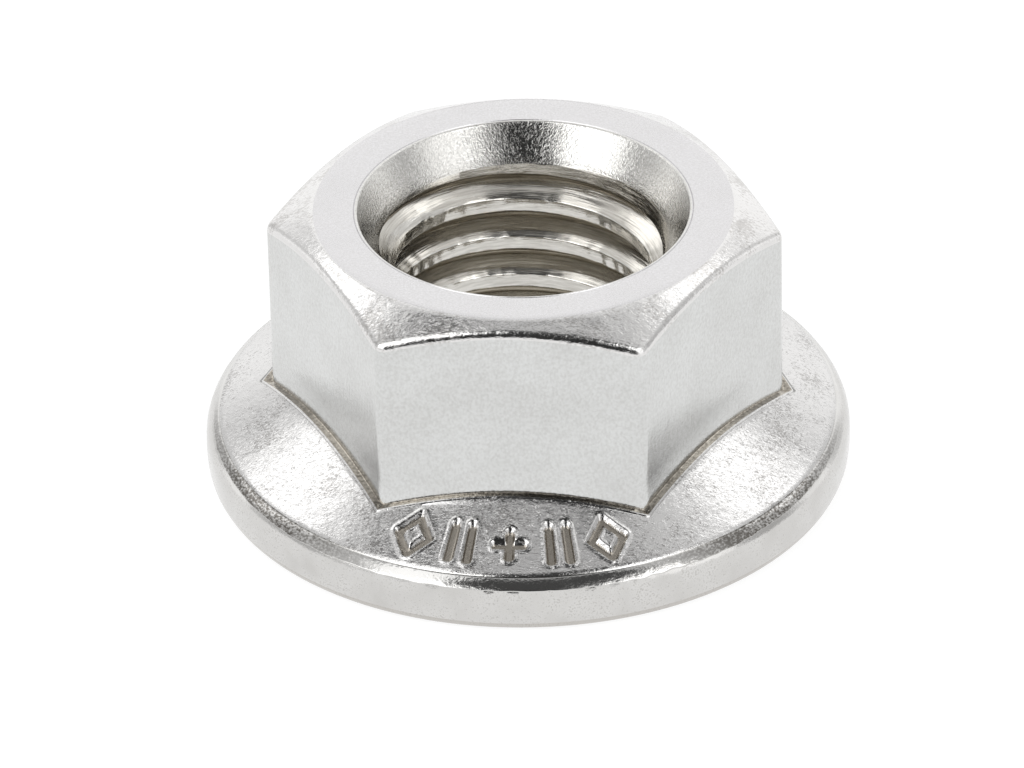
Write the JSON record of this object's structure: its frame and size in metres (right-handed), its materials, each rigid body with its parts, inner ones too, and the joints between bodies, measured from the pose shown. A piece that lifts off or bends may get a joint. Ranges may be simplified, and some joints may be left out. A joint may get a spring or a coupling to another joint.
{
  "type": "serrated flange nut",
  "caption": "Hexagon nut with a one-piece conical flange, a countersunk threaded hole, and ratchet serrations on the bearing face that bite when it turns back.",
  "frame": {"origin": "on the thread axis, in the bearing plane that the tips of the serrations touch", "axes": "+Z along the thread axis, from the bearing face to the top face; two corners of the hexagon lie over the X axis and two flats face +Y and -Y"},
  "size_m": [0.0216, 0.0216, 0.0097],
  "materials": {
    "stainless_steel": "cold-formed and tumbled stainless steel, bright, with a faint grain on the flange, turned end faces and a cut thread"
  },
  "bodies": {
    "root": {"flange_nut": "stainless_steel"}
  },
  "joints": []
}
